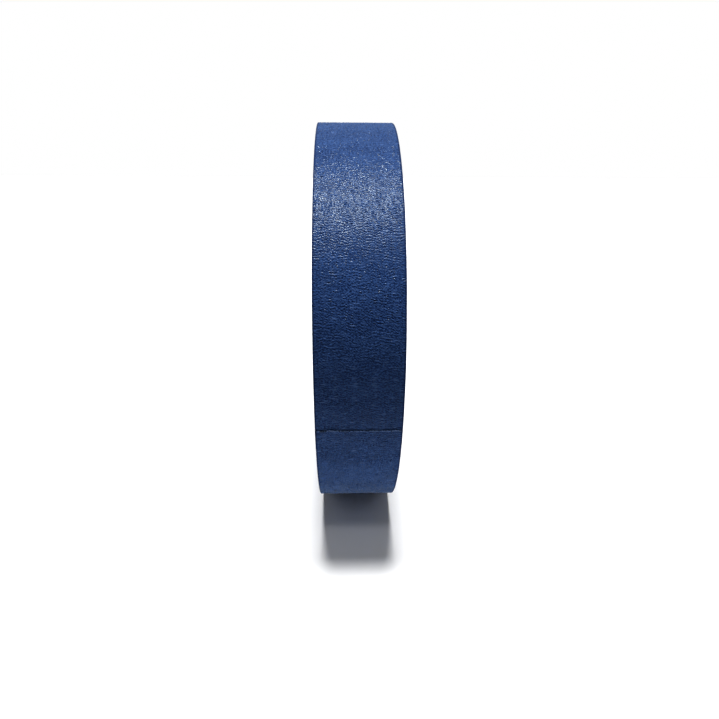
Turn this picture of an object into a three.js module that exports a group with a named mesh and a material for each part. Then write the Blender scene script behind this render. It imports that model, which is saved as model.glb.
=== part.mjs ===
// A roll of creped masking tape on a paperboard core, standing on its rim.
//
// Frame: millimetres, +Z up, the roll's axis along X, its front towards -Y. The origin is the
// middle of the flat that the roll stands on. The free end lies on the front, a little below
// the level of the axis, and the tape runs from it down, under the roll and up its back.
//
// Every outline is drawn from the free end: "wrap" is the angle in degrees run back from the
// free end along the winding. All pieces have their corners at the same wrap angles, so the
// flats of one turn lie parallel to the flats of the next.

import * as THREE from 'three';

const { degToRad, radToDeg } = THREE.MathUtils;

// Tape: 24 mm wide creped paper, about 55 m of it
const TAPE_WIDTH = 24;
const TAPE_THICKNESS = 0.142;
const TURNS = 165;

// Core: the standard 3 inch bore, six plies of chipboard glued into one tube
const BORE_RADIUS = 76.2 / 2;
const CORE_WALL = 3;
const CORE_PLIES = 6;

// Glue lines between the layers, and the cuts between lengths of the free end
const LAYER_GAP = 0.02;
const CUT_GAP = 0.05;

// Free end: where it lies above the level of the axis, and the length that peels
const FREE_END_ANGLE = -16;
const FACET_ANGLE = 4;
const PEEL_SEGMENTS = 8;
const PEEL_ANGLE = PEEL_SEGMENTS * FACET_ANGLE;
const FULL_TURN = 360;

const CORE_RADIUS = BORE_RADIUS + CORE_WALL;
const PLY_PITCH = (CORE_WALL + LAYER_GAP) / CORE_PLIES;
const WINDING_RADIUS = CORE_RADIUS + LAYER_GAP;
const ROLL_RADIUS = WINDING_RADIUS + TURNS * TAPE_THICKNESS;

// The roll stands on the flat whose middle is straight below the axis
const WRAP_TO_FLOOR = 90 + FREE_END_ANGLE;
const AXIS_HEIGHT = tapeRadius(WRAP_TO_FLOOR) * Math.cos(degToRad(FACET_ANGLE / 2));
const CUT_ANGLE = radToDeg(CUT_GAP / ROLL_RADIUS);

const CREPE_BLUE = { color: 0x35598f, roughness: 0.72, metalness: 0 };
const CHIPBOARD = { color: 0x9a8468, roughness: 0.92, metalness: 0 };
const LINER_PAPER = { color: 0xcdbb9c, roughness: 0.85, metalness: 0 };

/** Outside radius of the tape at a wrap angle, one thickness less for each turn back. */
function tapeRadius(wrap) {
  return ROLL_RADIUS - TAPE_THICKNESS * wrap / FULL_TURN;
}

/** Point of the roll's cross-section at a wrap angle: x to the front, y up. */
function pointAt(wrap, radius) {
  const angle = degToRad(FREE_END_ANGLE - wrap);
  return new THREE.Vector2(radius * Math.cos(angle), radius * Math.sin(angle));
}

/** Wrap angles of the facet corners from start to end, both included. */
function corners(start, end) {
  const first = Math.floor(start / FACET_ANGLE) + 1;
  const last = Math.ceil(end / FACET_ANGLE) - 1;
  const between = Array.from({ length: last - first + 1 }, (_, i) => (first + i) * FACET_ANGLE);
  return [start, ...between, end];
}

/** The corner points of a whole turn, whose radius may change along the wrap. */
function turnOutline(radiusAt, wraps) {
  return wraps.map((wrap) => pointAt(wrap, radiusAt(wrap)));
}

/** A solid as wide as the tape, from its cross-section. */
function acrossTape(shape) {
  const geometry = new THREE.ExtrudeGeometry(shape, { depth: TAPE_WIDTH, bevelEnabled: false });
  return geometry.translate(0, 0, -TAPE_WIDTH / 2);
}

/** A full circle's corner points. */
function circle(radius) {
  return turnOutline(() => radius, corners(0, FULL_TURN).slice(0, -1));
}

/** A closed ring between a round bore, which runs the other way about, and an outline. */
function ring(boreRadius, outline) {
  const shape = new THREE.Shape(outline);
  shape.holes.push(new THREE.Path(circle(boreRadius).reverse()));
  return acrossTape(shape);
}

/** One ply of the core: a plain round tube. */
function corePly(index) {
  const inner = BORE_RADIUS + index * PLY_PITCH;
  return ring(inner, circle(inner + PLY_PITCH - LAYER_GAP));
}

/** All the turns under the outermost one. Their outside is a spiral with a step at the free end. */
function windings() {
  const under = (wrap) => tapeRadius(wrap) - TAPE_THICKNESS;
  return ring(WINDING_RADIUS, turnOutline(under, corners(0, FULL_TURN)));
}

/** A length of the outermost turn, from one wrap angle to another. */
function tapeLength(start, end) {
  const wraps = corners(start, end);
  const outside = turnOutline(tapeRadius, wraps);
  const inside = turnOutline((wrap) => tapeRadius(wrap) - TAPE_THICKNESS + LAYER_GAP, wraps);
  return acrossTape(new THREE.Shape([...outside, ...inside.reverse()]));
}

/** A length of the free end, numbered from where the peel stops to the cut edge. */
function peelSegment(number) {
  const hinge = PEEL_ANGLE - (number - 1) * FACET_ANGLE;
  return tapeLength(hinge - FACET_ANGLE + CUT_ANGLE / 2, hinge - CUT_ANGLE / 2);
}

/** The outermost turn, from where the peel stops to just short of the step at the free end. */
function outerTurn() {
  return tapeLength(PEEL_ANGLE, FULL_TURN - CUT_ANGLE);
}

const roll = new THREE.Group();

function addPiece(name, geometry, finish) {
  const piece = new THREE.Mesh(geometry, new THREE.MeshStandardMaterial(finish));
  piece.name = name;
  roll.add(piece);
}

addPiece('core_liner', corePly(0), LINER_PAPER);
for (let ply = 1; ply < CORE_PLIES - 1; ply += 1) {
  addPiece(`core_ply_${ply}`, corePly(ply), CHIPBOARD);
}
addPiece('core_outer_ply', corePly(CORE_PLIES - 1), CHIPBOARD);

addPiece('tape_windings', windings(), CREPE_BLUE);
addPiece('outer_turn', outerTurn(), CREPE_BLUE);
for (let number = 1; number <= PEEL_SEGMENTS; number += 1) {
  addPiece(`tape_end_${number}`, peelSegment(number), CREPE_BLUE);
}

// Stand the cross-section up: its x to the front, its y up, its width along X
const front = new THREE.Vector3(0, -1, 0);
const up = new THREE.Vector3(0, 0, 1);
const across = new THREE.Vector3(-1, 0, 0);
roll.setRotationFromMatrix(new THREE.Matrix4().makeBasis(front, up, across));
roll.position.set(0, 0, AXIS_HEIGHT);

export default roll;
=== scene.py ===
"""A roll of blue creped masking tape on a paperboard core, standing on its rim on a pale floor.

Lengths are in millimetres until a mesh is made, which is in metres, in the part's own frame:
+Z up, the roll's axis along X, its front towards -Y. Places on the tape are given by "wrap", the
angle in degrees run back from the free end along the winding, and by x, across the tape.
"""

import math

import bpy
import numpy as np
from mathutils import Matrix, Vector


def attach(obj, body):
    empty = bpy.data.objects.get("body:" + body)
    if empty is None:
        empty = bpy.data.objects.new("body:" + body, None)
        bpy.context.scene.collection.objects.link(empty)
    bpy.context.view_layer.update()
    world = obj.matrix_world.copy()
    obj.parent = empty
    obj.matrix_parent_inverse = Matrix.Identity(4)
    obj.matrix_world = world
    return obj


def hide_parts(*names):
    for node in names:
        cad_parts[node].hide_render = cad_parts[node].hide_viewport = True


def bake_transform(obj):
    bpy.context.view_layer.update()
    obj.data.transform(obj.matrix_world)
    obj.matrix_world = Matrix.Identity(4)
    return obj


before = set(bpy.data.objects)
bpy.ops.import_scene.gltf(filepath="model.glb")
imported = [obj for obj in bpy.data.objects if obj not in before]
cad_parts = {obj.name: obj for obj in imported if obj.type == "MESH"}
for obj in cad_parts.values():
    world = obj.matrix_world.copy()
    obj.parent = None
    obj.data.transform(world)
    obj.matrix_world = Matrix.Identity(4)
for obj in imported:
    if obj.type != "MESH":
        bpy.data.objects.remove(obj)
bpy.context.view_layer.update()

MM = 0.001

# The tape and its core
TAPE_WIDTH = 24.0
TAPE_THICKNESS = 0.142
TURNS = 165
BORE_RADIUS = 38.1
PLY_PITCH = 3.02 / 6
CORE_PLIES = 6
LAYER_GAP = 0.02
ROLL_RADIUS = 64.55
AXIS_HEIGHT = 64.4815
FREE_END_ANGLE = -16.0
FULL_TURN = 360.0

# The free end: lengths that peel, and where the last one joins the roll
PEEL_LENGTHS = 8
LENGTH_WRAP = 4.0
TIP_WRAP = 2.0
PEEL_WRAP = PEEL_LENGTHS * LENGTH_WRAP + TIP_WRAP
STRIP_END = FULL_TURN + PEEL_WRAP

# Grid of the creped surface
ROWS_PER_DEGREE = 6
COLUMNS = 128
NEAR_EDGE = (0.0, 0.05, 0.14, 0.4)
EDGE_STRIP = 0.9
CREPE_LIMIT = 0.14
NOISE_COLUMNS = 240
CREPE_SEED = 31

# Crepe: wrinkles across the tape, their wavelengths along it and how far they keep their shape
LONG_CREPE = {"wave": 0.90, "spread": 0.45, "reach": 0.9, "height": 0.008}
SHORT_CREPE = {"wave": 0.68, "spread": 0.42, "reach": 0.19, "height": 0.054}
BAGGY = {"wave": 14.0, "spread": 0.8, "reach": 9.0, "height": 0.010}

# Cut edge: it stands a little off the roll, and is not quite straight
LIP_LIFT = 0.22
LIP_WRAP = 5.0
LIP_CURL = 2.2
CUT_WANDER = {"wave": 6.0, "spread": 0.9, "reach": 0.1, "height": 0.12}
CUT_TEETH = {"wave": 0.9, "spread": 0.6, "reach": 0.1, "height": 0.10}
CUT_WRAP = 1.2

# Rounding of the tape's long edges, and where across the tape painted shade darkens them
EDGE_DROP = 0.07
EDGE_REACH = 0.14
EDGE_PAINTED_SHADE_FROM = 11.35
EDGE_PAINTED_SHADE_TO = 11.75

# Wound turns under the outermost one: how far their edges stray from one flat side
SECTIONS_PER_TURN = 120
EDGE_BANDS = 0.05
EDGE_STEPS = 0.022
EDGE_FUZZ = 0.010
TURNS_PER_BAND = 9
WOUND_SEED = 57

# Core: each ply is a strip wound on a slant, with a butt joint running round it
PLY_SECTIONS = 300
PLY_COLUMNS = 17
PLY_SEED = 71
PLY_SLANT = math.radians(28.5)
PLY_JOINTS = (0.6, 3.9, 1.7, 5.2, 2.9, 4.6)
JOINT_GAP = 0.40
PLY_BEVEL = 0.09
PLY_INSETS = (0.16, 0.05, 0.20, 0.08, 0.18, 0.06)
PLY_FUZZ = 0.035

CAMERA_LENS = 27.62
SENSOR = 36.0
CAMERA_DISTANCE = 3.163 * ROLL_RADIUS
CAMERA_SIDE = -0.0598 * ROLL_RADIUS
CAMERA_ELEVATION = math.radians(13.6)
CAMERA_PITCH = -0.0842
CAMERA_TURN = -0.0274
CAMERA_ROLL = 0.0026

# Light: a high overhead lamp, a weak lamp in front and one seen only as glints, with a
# little light from the back and the sides
VIEW_GAMMA = 0.8
OVERHEAD = {"elevation": 87.5, "angle": 13, "energy": 4.0, "shine": False}
FRONT_LIGHT = {"elevation": 62, "angle": 7, "energy": 0.32, "shine": False}
GLINT_LIGHT = {"elevation": 75, "angle": 8, "energy": 1.7, "fill": False,
               "tint": (0.95, 1.0, 0.92)}
CARD_RADIUS = 140.0
CARD_DEPTH = 0.2
FLOOR_HALF = 30000.0
FRONT_FILL = 0.02
BACK_FILL = 0.42
SIDE_FILL = 0.55
SIDE_LIGHT_FROM_TO = (0.35, 0.85)
BACK_LIGHT_FROM_TO = (-0.2, 0.9)


# ---------------------------------------------------------------- shapes

def place(x, wrap, radius):
    """Points in metres, from x across the tape, wrap in degrees and radius."""
    angle = np.radians(FREE_END_ANGLE - np.asarray(wrap, float))
    x, radius, angle = np.broadcast_arrays(np.asarray(x, float), radius, angle)
    y = -radius * np.cos(angle)
    z = AXIS_HEIGHT + radius * np.sin(angle)
    return np.stack([x, y, z], axis=-1) * MM


def tape_radius(wrap):
    """Outside radius of the tape at a wrap angle."""
    return ROLL_RADIUS - TAPE_THICKNESS * np.asarray(wrap, float) / FULL_TURN


def band_noise(shape, pitch, rng, wave, spread, reach, height):
    """Wrinkles of one kind on a grid: noise kept near one wavelength along, smooth across."""
    noise = np.fft.rfft2(rng.standard_normal(shape))
    along = np.abs(np.fft.fftfreq(shape[0], pitch[0]))[:, None]
    across = np.fft.rfftfreq(shape[1], pitch[1])[None, :]
    octaves = np.log2(np.maximum(along, 1e-6) * wave)
    keep = np.exp(-0.5 * (octaves / spread) ** 2) * np.exp(-0.5 * (across * reach * 2) ** 2)
    field = np.fft.irfft2(noise * keep, shape)
    return field * (height / field.std())


def row_wraps():
    """Wrap angles of the grid's rows, from the free end back."""
    return np.arange(round(STRIP_END * ROWS_PER_DEGREE) + 1) / ROWS_PER_DEGREE


def column_places():
    """Places across the tape: even, with more near the long edges."""
    half = TAPE_WIDTH / 2
    near_edge = np.array(NEAR_EDGE) - half
    between = np.linspace(EDGE_STRIP - half, half - EDGE_STRIP, COLUMNS - 2 * len(NEAR_EDGE) + 1)
    return np.concatenate([near_edge, between, -near_edge[::-1]])


def creped_strip():
    """The tape's outer surface from the free end back: places, radii and crepe heights."""
    rng = np.random.default_rng(CREPE_SEED)
    wraps = row_wraps()
    columns = column_places()
    pitch = (ROLL_RADIUS * math.radians(1 / ROWS_PER_DEGREE), TAPE_WIDTH / NOISE_COLUMNS)
    fine = (len(wraps), NOISE_COLUMNS + 1)
    kinds = (LONG_CREPE, SHORT_CREPE, BAGGY)
    field = sum(band_noise(fine, pitch, rng, **kind) for kind in kinds)
    even = np.linspace(-TAPE_WIDTH / 2, TAPE_WIDTH / 2, fine[1])
    crepe = np.stack([np.interp(columns, even, row) for row in field])
    crepe = np.clip(crepe, -CREPE_LIMIT, CREPE_LIMIT)

    from_edge = TAPE_WIDTH / 2 - np.abs(columns)
    edge = EDGE_DROP * np.exp(-from_edge / EDGE_REACH)
    lip = LIP_LIFT * np.clip(1 - wraps / LIP_WRAP, 0, 1) ** LIP_CURL
    radii = tape_radius(wraps)[:, None] + crepe - edge[None, :] + lip[:, None]

    line = (fine[1], 2), (pitch[1], 1)
    cut = sum(band_noise(*line, rng, **kind)[:, 0] for kind in (CUT_WANDER, CUT_TEETH))
    cut = np.interp(columns, even, cut)
    near_cut = np.clip(1 - wraps / CUT_WRAP, 0, 1)[:, None]
    shifted = wraps[:, None] + np.degrees(cut / ROLL_RADIUS)[None, :] * near_cut
    return {"wraps": wraps, "columns": columns, "shifted": shifted, "radii": radii,
            "crepe": crepe, "lip": lip}


# ---------------------------------------------------------------- meshes

def mesh_object(name, points, faces, material, smooth=True):
    """A new object in the scene, from points in metres and faces with any number of corners."""
    mesh = bpy.data.meshes.new(name)
    counts = [len(face) for face in faces]
    corners = np.concatenate([np.asarray(face, np.int32) for face in faces])
    fill_mesh(mesh, np.asarray(points, float).reshape(-1, 3), counts, corners)
    mesh.polygons.foreach_set("use_smooth", [smooth] * len(faces))
    mesh.materials.append(material)
    piece = bpy.data.objects.new(name, mesh)
    bpy.context.scene.collection.objects.link(piece)
    return piece


def fill_mesh(mesh, points, counts, corners):
    """Puts vertices and faces into an empty mesh."""
    mesh.vertices.add(len(points))
    mesh.vertices.foreach_set("co", points.astype(np.float32).ravel())
    mesh.loops.add(len(corners))
    mesh.loops.foreach_set("vertex_index", corners)
    mesh.polygons.add(len(counts))
    starts = np.concatenate([[0], np.cumsum(counts)[:-1]]).astype(np.int32)
    mesh.polygons.foreach_set("loop_start", starts)
    mesh.update(calc_edges=True)
    mesh.validate()


def grid_quads(index, flip=False):
    """Faces of a grid of points, from the points' numbers."""
    a, b = index[:-1, :-1], index[:-1, 1:]
    c, d = index[1:, 1:], index[1:, :-1]
    order = (d, c, b, a) if flip else (a, b, c, d)
    return np.stack(order, axis=-1).reshape(-1, 4)


def strip_points(strip, rows):
    """Points of some rows of the tape: its creped outside, and the two edges of its inside."""
    wraps, columns = strip["shifted"][rows], strip["columns"]
    outer = place(columns[None, :], wraps, strip["radii"][rows])
    outer[..., 2] = np.maximum(outer[..., 2], 0.0)
    thickness = TAPE_THICKNESS - LAYER_GAP
    under = tape_radius(strip["wraps"][rows]) - thickness + strip["lip"][rows]
    inner = place(columns[[0, -1]][None, :], wraps[:, [0, -1]], under[:, None])
    return np.concatenate([outer.reshape(-1, 3), inner.reshape(-1, 3)])


def strip_faces(height, width):
    """Faces that close a length of tape, and which of them are its sticky inside."""
    count = height * width
    outer_at = np.arange(count).reshape(height, width)
    inner_at = count + np.arange(height * 2).reshape(height, 2)
    left = np.stack([outer_at[:, 0], inner_at[:, 0]], axis=1)
    right = np.stack([outer_at[:, -1], inner_at[:, 1]], axis=1)
    faces = [*grid_quads(outer_at), *grid_quads(left, flip=True), *grid_quads(right)]
    sticky_from = len(faces)
    faces += [*grid_quads(inner_at, flip=True)]
    sticky_to = len(faces)
    faces.append([*outer_at[0][::-1], *inner_at[0]])
    faces.append([*outer_at[-1], *inner_at[-1][::-1]])
    return faces, slice(sticky_from, sticky_to)


def strip_piece(name, strip, start, end, materials):
    """A closed length of tape between two wrap angles, creped outside, sticky inside."""
    first, last = (round(wrap * ROWS_PER_DEGREE) for wrap in (start, end))
    rows = slice(first, last + 1)
    faces, sticky = strip_faces(*strip["radii"][rows].shape)
    piece = mesh_object(name, strip_points(strip, rows), faces, materials[0])
    piece.data.materials.append(materials[1])
    sharpen(piece.data)
    for face in piece.data.polygons[sticky]:
        face.material_index = 1
    tape_map(piece.data, strip, rows)
    return piece


def wound_turns(material):
    """All the turns under the outermost one, as one long ribbon with slightly uneven edges."""
    rng = np.random.default_rng(WOUND_SEED)
    last = TURNS * FULL_TURN
    count = round((last - STRIP_END) * SECTIONS_PER_TURN / FULL_TURN) + 1
    wraps = np.linspace(STRIP_END, last, count)
    turn = wraps / FULL_TURN
    knots = np.arange(TURNS + 2)
    far_knots = knots[::TURNS_PER_BAND]
    steps = np.interp(turn, knots, rng.normal(0, EDGE_STEPS, len(knots)))
    bands = np.interp(turn, far_knots, rng.normal(0, EDGE_BANDS, len(far_knots)))
    shift = steps + bands
    left = shift - TAPE_WIDTH / 2 + rng.normal(0, EDGE_FUZZ, count)
    right = shift + TAPE_WIDTH / 2 + rng.normal(0, EDGE_FUZZ, count)
    outside = tape_radius(wraps)
    inside = outside - TAPE_THICKNESS + LAYER_GAP / 2
    loop = [place(left, wraps, inside), place(right, wraps, inside)]
    loop += [place(right, wraps, outside), place(left, wraps, outside)]
    points = np.stack(loop, axis=1)
    piece = swept_piece("tape_windings_wound", points, material)
    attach(piece, "roll")
    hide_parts("tape_windings")


def swept_piece(name, loops, material):
    """A closed solid through loops of points, one loop after another, with both ends capped."""
    count, around = loops.shape[:2]
    index = np.arange(count * around).reshape(count, around)
    closed = np.concatenate([index, index[:, :1]], axis=1)
    faces = [*grid_quads(closed, flip=True)]
    half = around // 2
    for ring, turned in ((index[0], False), (index[-1], True)):
        for i in range(half - 1):
            face = [ring[i], ring[i + 1], ring[-2 - i], ring[-1 - i]]
            faces.append(face[::-1] if turned else face)
    return mesh_object(name, loops.reshape(-1, 3), faces, material)


def core_ply(index, name, material):
    """One ply of the core: a strip wound on a slant into a tube, its two edges butted."""
    rng = np.random.default_rng(PLY_SEED + index)
    inner = BORE_RADIUS + index * PLY_PITCH
    outer = inner + PLY_PITCH - LAYER_GAP
    half = TAPE_WIDTH / 2 - PLY_INSETS[index]
    between = np.linspace(-half + PLY_BEVEL, half - PLY_BEVEL, PLY_COLUMNS)
    across = np.concatenate([[-half], between, [half]])
    bevel = np.zeros(len(across))
    bevel[[0, -1]] = PLY_BEVEL
    x = np.concatenate([across, across[::-1]])
    radius = np.concatenate([inner + bevel, (outer - bevel)[::-1]])
    gap = JOINT_GAP / inner
    turn = np.degrees(np.linspace(gap / 2, 2 * math.pi - gap / 2, PLY_SECTIONS + 1))
    slant = np.degrees(x / math.tan(PLY_SLANT) / inner)
    wraps = math.degrees(PLY_JOINTS[index]) + turn[:, None] + slant[None, :]
    fuzz = smooth_noise(rng, len(turn), 3) * PLY_FUZZ + rng.normal(0, PLY_FUZZ / 3, len(turn))
    at_end = (np.abs(x) > half - 2 * PLY_BEVEL) * np.sign(x)
    loops = place(x[None, :] + fuzz[:, None] * at_end[None, :], wraps, radius[None, :])
    piece = swept_piece(name + "_wound", loops, material)
    sharpen(piece.data, 70)
    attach(piece, "roll")
    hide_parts(name)
    return piece


def smooth_noise(rng, count, width):
    """Noise round a ring, smoothed over a few neighbours, about 1 in size."""
    noise = rng.standard_normal(count)
    kernel = np.hanning(2 * width + 3)
    ring = np.concatenate([noise[-2 * width:], noise, noise[:2 * width]])
    smooth = np.convolve(ring, kernel, "same")[2 * width:-2 * width]
    return smooth / smooth.std()


def sharpen(mesh, angle=55):
    """Marks the edges that are really sharp, so that smooth shading stops there."""
    mesh.set_sharp_from_angle(angle=math.radians(angle))


def tape_map(mesh, strip, rows):
    """Lengths along and across the tape as texture coordinates, and the crepe's height."""
    along = np.radians(strip["shifted"][rows]) * ROLL_RADIUS
    across = np.broadcast_to(strip["columns"][None, :], along.shape)
    u, v = (np.concatenate([grid.ravel(), grid[:, [0, -1]].ravel()]) for grid in (along, across))
    corner = np.zeros(len(mesh.loops), np.int32)
    mesh.loops.foreach_get("vertex_index", corner)
    layer = mesh.uv_layers.new(name="tape")
    places = np.stack([u[corner], v[corner]], axis=1)
    layer.data.foreach_set("uv", places.astype(np.float32).ravel())
    crepe = strip["crepe"][rows]
    height = np.concatenate([crepe.ravel(), np.zeros(crepe.shape[0] * 2)])
    attribute = mesh.attributes.new("crepe", "FLOAT", "POINT")
    attribute.data.foreach_set("value", height.astype(np.float32))


# ---------------------------------------------------------------- materials

class Nodes:
    """Short calls for building nodes in a material or a world."""

    def __init__(self, tree):
        self.tree = tree

    def add(self, kind, **settings):
        node = self.tree.nodes.new(kind)
        for key, value in settings.items():
            setattr(node, key, value)
        return node

    def wire(self, socket, value):
        """Links a socket to another node's output, or sets its value."""
        if isinstance(value, bpy.types.NodeSocket):
            self.tree.links.new(value, socket)
        else:
            socket.default_value = value

    def coordinates(self, scale, uv=None):
        if uv:
            start = self.add("ShaderNodeUVMap", uv_map=uv).outputs[0]
        else:
            start = self.add("ShaderNodeTexCoord").outputs["Object"]
        mapping = self.add("ShaderNodeMapping")
        self.wire(mapping.inputs["Vector"], start)
        mapping.inputs["Scale"].default_value = scale
        return mapping.outputs[0]

    def noise(self, vector, scale=1.0, detail=3.0, roughness=0.55, distortion=0.0):
        node = self.add("ShaderNodeTexNoise")
        self.wire(node.inputs["Vector"], vector)
        node.inputs["Scale"].default_value = scale
        node.inputs["Detail"].default_value = detail
        node.inputs["Roughness"].default_value = roughness
        node.inputs["Distortion"].default_value = distortion
        return node.outputs["Fac"]

    def math(self, operation, a, b=0.0):
        node = self.add("ShaderNodeMath", operation=operation)
        self.wire(node.inputs[0], a)
        self.wire(node.inputs[1], b)
        return node.outputs[0]

    def ramp(self, value, low, high, to_low=0.0, to_high=1.0):
        node = self.add("ShaderNodeMapRange", interpolation_type="SMOOTHSTEP")
        self.wire(node.inputs["Value"], value)
        node.inputs["From Min"].default_value = low
        node.inputs["From Max"].default_value = high
        node.inputs["To Min"].default_value = to_low
        node.inputs["To Max"].default_value = to_high
        return node.outputs[0]

    def mix(self, share, a, b):
        node = self.add("ShaderNodeMix", data_type="RGBA")
        self.wire(node.inputs[0], share)
        self.wire(node.inputs[6], a)
        self.wire(node.inputs[7], b)
        return node.outputs[2]

    def bump(self, height, distance):
        node = self.add("ShaderNodeBump")
        self.wire(node.inputs["Height"], height)
        node.inputs["Distance"].default_value = distance
        node.inputs["Strength"].default_value = 1.0
        return node.outputs[0]


class Material(Nodes):
    """A material with one principled shader."""

    def __init__(self, name):
        self.material = bpy.data.materials.new(name)
        self.material.use_nodes = True
        super().__init__(self.material.node_tree)
        self.tree.nodes.clear()
        output = self.add("ShaderNodeOutputMaterial")
        self.shader = self.add("ShaderNodeBsdfPrincipled")
        self.tree.links.new(self.shader.outputs[0], output.inputs["Surface"])

    def finish(self, color, roughness, normal=None, **constants):
        self.wire(self.shader.inputs["Base Color"], color)
        self.wire(self.shader.inputs["Roughness"], roughness)
        if normal is not None:
            self.wire(self.shader.inputs["Normal"], normal)
        for key, value in constants.items():
            self.shader.inputs[key.replace("_", " ")].default_value = value
        return self.material


def rgb(red, green, blue):
    return (red, green, blue, 1.0)


# Depth of the fine relief, in metres
CREPE_BUMP = 0.06 * MM
STICKY_BUMP = 0.05 * MM
RING_BUMP = 0.05 * MM
BOARD_BUMP = 0.10 * MM

# Colours, as linear light
# Darkest blue: darker tone, and painted shade in the furrows and along the long edges
CREPE_DARK_AND_SHADE = rgb(0.007, 0.028, 0.116)
CREPE_LOW = rgb(0.020, 0.060, 0.180)
# Palest blue: paler tone, and painted highlight on the ridges and the wrinkle streaks
CREPE_PALE_AND_HIGHLIGHT = rgb(0.070, 0.150, 0.370)
EDGE_LOW = rgb(0.011, 0.036, 0.125)
EDGE_MID = rgb(0.040, 0.100, 0.270)
EDGE_HIGH = rgb(0.070, 0.150, 0.340)
BOARD_DARK = rgb(0.240, 0.170, 0.105)
BOARD_LIGHT = rgb(0.400, 0.300, 0.195)
BOARD_FLECK = rgb(0.110, 0.080, 0.055)
LINER_DARK = rgb(0.530, 0.425, 0.290)
LINER_LIGHT = rgb(0.640, 0.530, 0.380)
LINER_FLECK = rgb(0.300, 0.220, 0.140)
FIBRE_PALE = rgb(0.19, 0.29, 0.55)
SHEEN_BLUE = rgb(0.52, 0.72, 1.00)
STICKY_LOW = rgb(0.085, 0.170, 0.350)
STICKY_HIGH = rgb(0.120, 0.220, 0.410)
STICKY_PATCH = rgb(0.190, 0.270, 0.400)
CARD_LOW = rgb(0.80, 0.80, 0.80)
CARD_HIGH = rgb(0.84, 0.84, 0.84)
FLOOR_LOW = rgb(0.87, 0.87, 0.87)
FLOOR_HIGH = rgb(0.89, 0.89, 0.89)


def crepe_color(n, crepe, streaks, grain, fibres, mottle):
    """Blue dye with painted light: painted highlight on ridges and painted shade in furrows,
    grain dots and streaks partly painted glints, torn pale at the cut with a painted highlight,
    painted shade at the edges.
    """
    # painted highlight and shade: the colour follows the crepe's height, paler on ridges and
    # darker in furrows
    ridge_highlight_and_shade = n.ramp(crepe, -0.055, 0.055)
    color = n.mix(ridge_highlight_and_shade, CREPE_DARK_AND_SHADE, CREPE_PALE_AND_HIGHLIGHT)
    # light and dark dots: paper grain, partly painted glints and shade of the crepe's speckle
    color = n.mix(n.ramp(grain, 0.36, 0.50, 0.9, 0.0), color, CREPE_DARK_AND_SHADE)
    color = n.mix(n.ramp(grain, 0.50, 0.64, 0.0, 0.9), color, CREPE_PALE_AND_HIGHLIGHT)
    # pale streaks across the tape: lighter fibres, partly painted glints on the wrinkles
    color = n.mix(n.ramp(streaks, 0.50, 0.66, 0.0, 0.9), color, CREPE_PALE_AND_HIGHLIGHT)
    color = n.mix(n.ramp(streaks, 0.58, 0.70, 0.0, 0.55), color, FIBRE_PALE)
    color = n.mix(n.ramp(mottle, 0.3, 0.7, 0.0, 0.22), color, CREPE_LOW)
    color = n.mix(n.ramp(fibres, 0.66, 0.85, 0.0, 0.35), color, FIBRE_PALE)
    split = n.add("ShaderNodeSeparateXYZ")
    n.wire(split.inputs[0], n.coordinates((1.0, 1.0, 1.0), uv="tape"))
    # pale at the cut: torn fibres, partly a painted highlight along the lifted cut edge
    cut = n.ramp(split.outputs[0], 0.12, 0.40, 1.0, 0.0)
    torn = n.math("MULTIPLY", cut, n.ramp(grain, 0.36, 0.54, 0.25, 1.0))
    color = n.mix(torn, color, FIBRE_PALE)
    from_middle = n.math("ABSOLUTE", split.outputs[1])
    # painted shade: the colour darkens towards the tape's long edges
    edge = n.ramp(from_middle, EDGE_PAINTED_SHADE_FROM, EDGE_PAINTED_SHADE_TO, 0.0, 0.85)
    color = n.mix(edge, color, CREPE_DARK_AND_SHADE)
    return color


def crepe_material():
    """Dyed creped paper with a thin release coat: wrinkles across it, fibres and mottling, with
    painted shade and highlights in its colour.
    """
    n = Material("creped_tape")
    streaks = n.noise(n.coordinates((2.6, 0.38, 1.0), uv="tape"), 1.0, 3.0, 0.6)
    grain = n.noise(n.coordinates((2.4, 2.0, 1.0), uv="tape"), 1.0, 1.0, 0.5)
    fibres = n.noise(n.coordinates((9.0, 1.4, 1.0), uv="tape"), 1.0, 2.0, 0.5, 0.4)
    mottle = n.noise(n.coordinates((0.10, 0.16, 1.0), uv="tape"), 1.0, 3.0, 0.55)
    crepe = n.add("ShaderNodeAttribute", attribute_name="crepe").outputs["Fac"]
    color = crepe_color(n, crepe, streaks, grain, fibres, mottle)
    worn = n.ramp(mottle, 0.3, 0.7, 0.0, 0.08)
    rough = n.math("ADD", n.ramp(grain, 0.3, 0.7, 0.27, 0.15), worn)
    heights = n.math("ADD", grain, n.math("MULTIPLY", fibres, 0.35))
    normal = n.bump(heights, CREPE_BUMP)
    return n.finish(color, rough, normal, Specular_IOR_Level=0.3, Sheen_Weight=0.30,
                    Sheen_Roughness=0.5, Sheen_Tint=SHEEN_BLUE)


def sticky_material():
    """The adhesive side: paler, smooth and tacky, with the crepe just showing through."""
    n = Material("sticky_side")
    streaks = n.noise(n.coordinates((2.2, 0.9, 1.0), uv="tape"), 1.0, 3.0, 0.55)
    patches = n.noise(n.coordinates((0.2, 0.2, 1.0), uv="tape"), 1.0, 3.0, 0.5)
    color = n.mix(n.ramp(streaks, 0.3, 0.7), STICKY_LOW, STICKY_HIGH)
    color = n.mix(n.ramp(patches, 0.4, 0.7, 0.0, 0.25), color, STICKY_PATCH)
    rough = n.ramp(streaks, 0.3, 0.7, 0.22, 0.34)
    return n.finish(color, rough, n.bump(streaks, STICKY_BUMP), Specular_IOR_Level=0.5)


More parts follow.
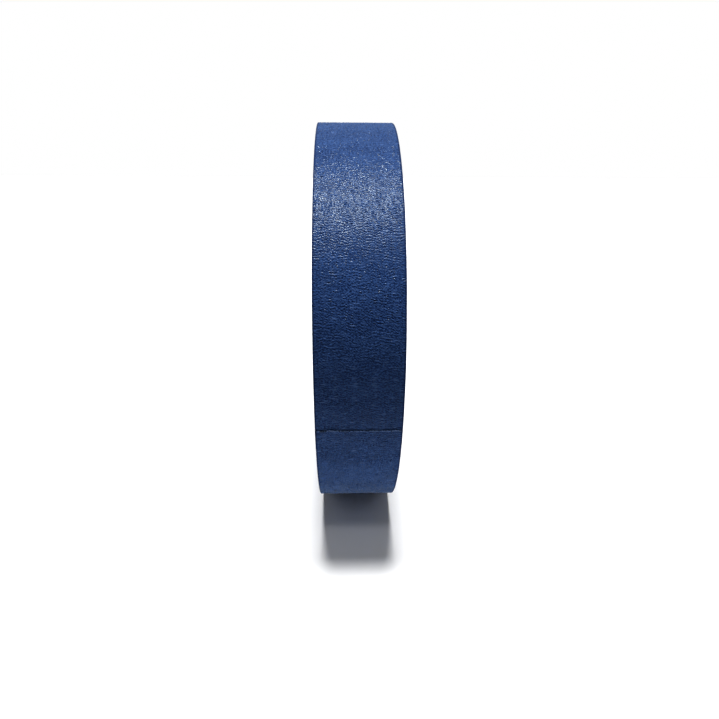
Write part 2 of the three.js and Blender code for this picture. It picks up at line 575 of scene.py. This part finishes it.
def around_axis(n, turns, per_mm):
    """Coordinates that follow the rings round the axis: direction, and distance from the axis."""
    shifted = n.add("ShaderNodeVectorMath", operation="MULTIPLY_ADD")
    n.wire(shifted.inputs[0], n.add("ShaderNodeTexCoord").outputs["Object"])
    shifted.inputs[1].default_value = (0.0, 1000.0, 1000.0)
    shifted.inputs[2].default_value = (0.0, 0.0, -AXIS_HEIGHT)
    length = n.add("ShaderNodeVectorMath", operation="LENGTH")
    n.wire(length.inputs[0], shifted.outputs[0])
    unit = n.add("ShaderNodeVectorMath", operation="NORMALIZE")
    n.wire(unit.inputs[0], shifted.outputs[0])
    split = n.add("ShaderNodeSeparateXYZ")
    n.wire(split.inputs[0], unit.outputs[0])
    joined = n.add("ShaderNodeCombineXYZ")
    n.wire(joined.inputs[0], n.math("MULTIPLY", length.outputs["Value"], per_mm))
    n.wire(joined.inputs[1], n.math("MULTIPLY", split.outputs[1], turns))
    n.wire(joined.inputs[2], n.math("MULTIPLY", split.outputs[2], turns))
    return joined.outputs[0]


def wound_edge_material():
    """The stacked edges of the tape: fine rings, a few paler or darker bands, a little dust."""
    n = Material("wound_edges")
    rings = n.noise(around_axis(n, 0.8, 1.5), 1.0, 3.0, 0.8)
    bands = n.noise(around_axis(n, 0.5, 0.35), 1.0, 3.0, 0.6)
    spokes = n.noise(around_axis(n, 30.0, 0.25), 1.0, 3.0, 0.6)
    dust = n.noise(n.coordinates((2600, 2600, 2600)), 1.0, 3.0, 0.6)
    color = n.mix(n.ramp(rings, 0.38, 0.62), EDGE_LOW, EDGE_MID)
    color = n.mix(n.ramp(bands, 0.45, 0.70, 0.0, 0.6), color, EDGE_HIGH)
    color = n.mix(n.ramp(spokes, 0.50, 0.80, 0.0, 0.15), color, EDGE_HIGH)
    color = n.mix(n.ramp(dust, 0.62, 0.80, 0.0, 0.5), color, FIBRE_PALE)
    rough = n.ramp(rings, 0.3, 0.7, 0.50, 0.72)
    heights = n.math("ADD", rings, n.math("MULTIPLY", dust, 0.5))
    return n.finish(color, rough, n.bump(heights, RING_BUMP), Specular_IOR_Level=0.3)


def board_material(name, dark, light, fleck):
    """Recycled paperboard: soft mottling, fibres lying every way, and flecks."""
    n = Material(name)
    mottle = n.noise(n.coordinates((420, 420, 420)), 1.0, 5.0, 0.65)
    fibres = n.noise(n.coordinates((900, 2600, 2600)), 1.0, 4.0, 0.65, 0.8)
    flecks = n.noise(n.coordinates((1500, 1500, 1500)), 1.0, 2.0, 0.5)
    color = n.mix(n.ramp(mottle, 0.28, 0.72), dark, light)
    color = n.mix(n.ramp(fibres, 0.50, 0.75, 0.0, 0.5), color, light)
    color = n.mix(n.ramp(flecks, 0.66, 0.74, 0.0, 0.6), color, fleck)
    rough = n.ramp(fibres, 0.3, 0.7, 0.80, 0.95)
    heights = n.math("ADD", fibres, n.math("MULTIPLY", mottle, 0.6))
    return n.finish(color, rough, n.bump(heights, BOARD_BUMP), Specular_IOR_Level=0.25)


def card_material():
    """Matt and pale: the light that the floor near the roll throws back."""
    n = Material("bounce_card")
    wear = n.noise(n.coordinates((3.0, 3.0, 3.0)), 1.0, 2.0, 0.5)
    color = n.mix(n.ramp(wear, 0.3, 0.7), CARD_LOW, CARD_HIGH)
    return n.finish(color, 0.6, Specular_IOR_Level=0.1)


def floor_material():
    """Plain and nearly white."""
    n = Material("pale_floor")
    wear = n.noise(n.coordinates((3.0, 3.0, 3.0)), 1.0, 2.0, 0.5)
    color = n.mix(n.ramp(wear, 0.3, 0.7), FLOOR_LOW, FLOOR_HIGH)
    return n.finish(color, 0.6, Specular_IOR_Level=0.0)


# ---------------------------------------------------------------- pieces

def peel_point(wrap):
    """A point in the middle of the tape's thickness, where a bend starts or ends."""
    return tuple(place(0.0, wrap, tape_radius(wrap) - TAPE_THICKNESS / 2))


def build_outer_tape(strip, materials):
    third = FULL_TURN / 3
    for i, name in enumerate(("outer_turn_under", "outer_turn_back", "outer_turn_front")):
        start = PEEL_WRAP + third * i
        turn = strip_piece(name, strip, start, start + third, materials)
        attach(turn, "roll")
        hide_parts("outer_turn")
    bodies = ["roll"] + [f"tape_end_{k}" for k in range(1, PEEL_LENGTHS + 1)]
    for k, (body, next_body) in enumerate(zip(bodies, bodies[1:])):
        near, far = PEEL_WRAP - LENGTH_WRAP * k, PEEL_WRAP - LENGTH_WRAP * (k + 1)
        piece = strip_piece(f"peeling_length_{k + 1}", strip, far, near, materials)
        peel_point(near)
        peel_point(far)
        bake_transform(piece)
        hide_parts(next_body)
    tip = strip_piece("cut_end", strip, 0.0, TIP_WRAP, materials)
    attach(tip, bodies[-1])


def build_core():
    liner = board_material("liner_paper", LINER_DARK, LINER_LIGHT, LINER_FLECK)
    board = board_material("chipboard", BOARD_DARK, BOARD_LIGHT, BOARD_FLECK)
    plies = [f"core_ply_{i}" for i in range(1, CORE_PLIES - 1)]
    names = ["core_liner", *plies, "core_outer_ply"]
    for index, name in enumerate(names):
        piece = core_ply(index, name, board if index else liner)


def build_stage():
    half = FLOOR_HALF * MM
    corners = [(-half, -half, 0), (half, -half, 0), (half, half, 0), (-half, half, 0)]
    floor = mesh_object("floor", corners, [[0, 1, 2, 3]], floor_material(), smooth=False)
    floor.visible_diffuse = False
    floor.visible_glossy = False
    floor.visible_shadow = False
    turns = np.radians(np.arange(0, 360, 5))
    rim = np.stack([np.cos(turns), np.sin(turns), 0 * turns], axis=1) * CARD_RADIUS * MM
    rim[:, 2] = -CARD_DEPTH * MM
    card = mesh_object("bounce_card", rim, [list(range(len(rim)))], card_material(), smooth=False)
    card.visible_camera = False
    card.visible_glossy = False


def rotation(axis, angle):
    return Matrix.Rotation(angle, 3, axis)


def build_camera():
    data = bpy.data.cameras.new("camera")
    data.sensor_width = SENSOR
    data.lens = CAMERA_LENS
    data.clip_start = 0.01
    data.clip_end = 100.0
    camera = bpy.data.objects.new("camera", data)
    tilt = rotation("X", -CAMERA_ELEVATION)
    aim = tilt @ rotation("Z", CAMERA_TURN) @ rotation("X", CAMERA_PITCH)
    aim = aim @ rotation("Y", CAMERA_ROLL)
    right, forward, up = aim.col[0], aim.col[1], aim.col[2]
    turned = Matrix((right, up, -forward)).transposed().to_4x4()
    away = tilt @ Vector((CAMERA_SIDE, -CAMERA_DISTANCE, 0.0))
    spot = (Vector((0.0, 0.0, AXIS_HEIGHT)) + away) * MM
    camera.matrix_world = Matrix.Translation(spot) @ turned
    bpy.context.scene.collection.objects.link(camera)
    bpy.context.scene.camera = camera


def add_lamp(name, elevation, angle, energy, shine=True, fill=True, tint=(1.0, 1.0, 1.0)):
    """A distant soft light above the front of the roll."""
    data = bpy.data.lights.new(name, "SUN")
    data.energy = energy
    data.color = tint
    data.angle = math.radians(angle)
    lamp = bpy.data.objects.new(name, data)
    height = math.radians(elevation)
    direction = Vector((0.0, -math.cos(height), math.sin(height)))
    lamp.rotation_mode = "QUATERNION"
    lamp.rotation_quaternion = direction.to_track_quat("Z", "Y")
    lamp.visible_glossy = shine
    lamp.visible_diffuse = fill
    bpy.context.scene.collection.objects.link(lamp)


def build_light():
    add_lamp("overhead", **OVERHEAD)
    add_lamp("front_light", **FRONT_LIGHT)
    add_lamp("glint_light", **GLINT_LIGHT)
    build_world()


def build_world():
    """A white background, and a little light from the sides and the back."""
    world = bpy.data.worlds.new("studio")
    world.use_nodes = True
    bpy.context.scene.world = world
    n = Nodes(world.node_tree)
    split = n.add("ShaderNodeSeparateXYZ")
    n.wire(split.inputs[0], n.add("ShaderNodeTexCoord").outputs["Generated"])
    from_side = n.math("ABSOLUTE", split.outputs[0])
    sides = n.ramp(from_side, *SIDE_LIGHT_FROM_TO, 0.0, SIDE_FILL)
    back = n.ramp(split.outputs[1], *BACK_LIGHT_FROM_TO, FRONT_FILL, BACK_FILL)
    seen = n.add("ShaderNodeLightPath").outputs["Is Camera Ray"]
    background = n.tree.nodes["Background"]
    background.inputs["Color"].default_value = rgb(1.0, 1.0, 1.0)
    fill = n.math("MAXIMUM", sides, back)
    n.wire(background.inputs["Strength"], n.math("MAXIMUM", fill, seen))


def build():
    bpy.context.scene.view_settings.view_transform = "Standard"
    bpy.context.scene.view_settings.gamma = VIEW_GAMMA
    build_camera()
    build_light()
    build_stage()
    strip = creped_strip()
    build_outer_tape(strip, (crepe_material(), sticky_material()))
    wound_turns(wound_edge_material())
    build_core()


build()
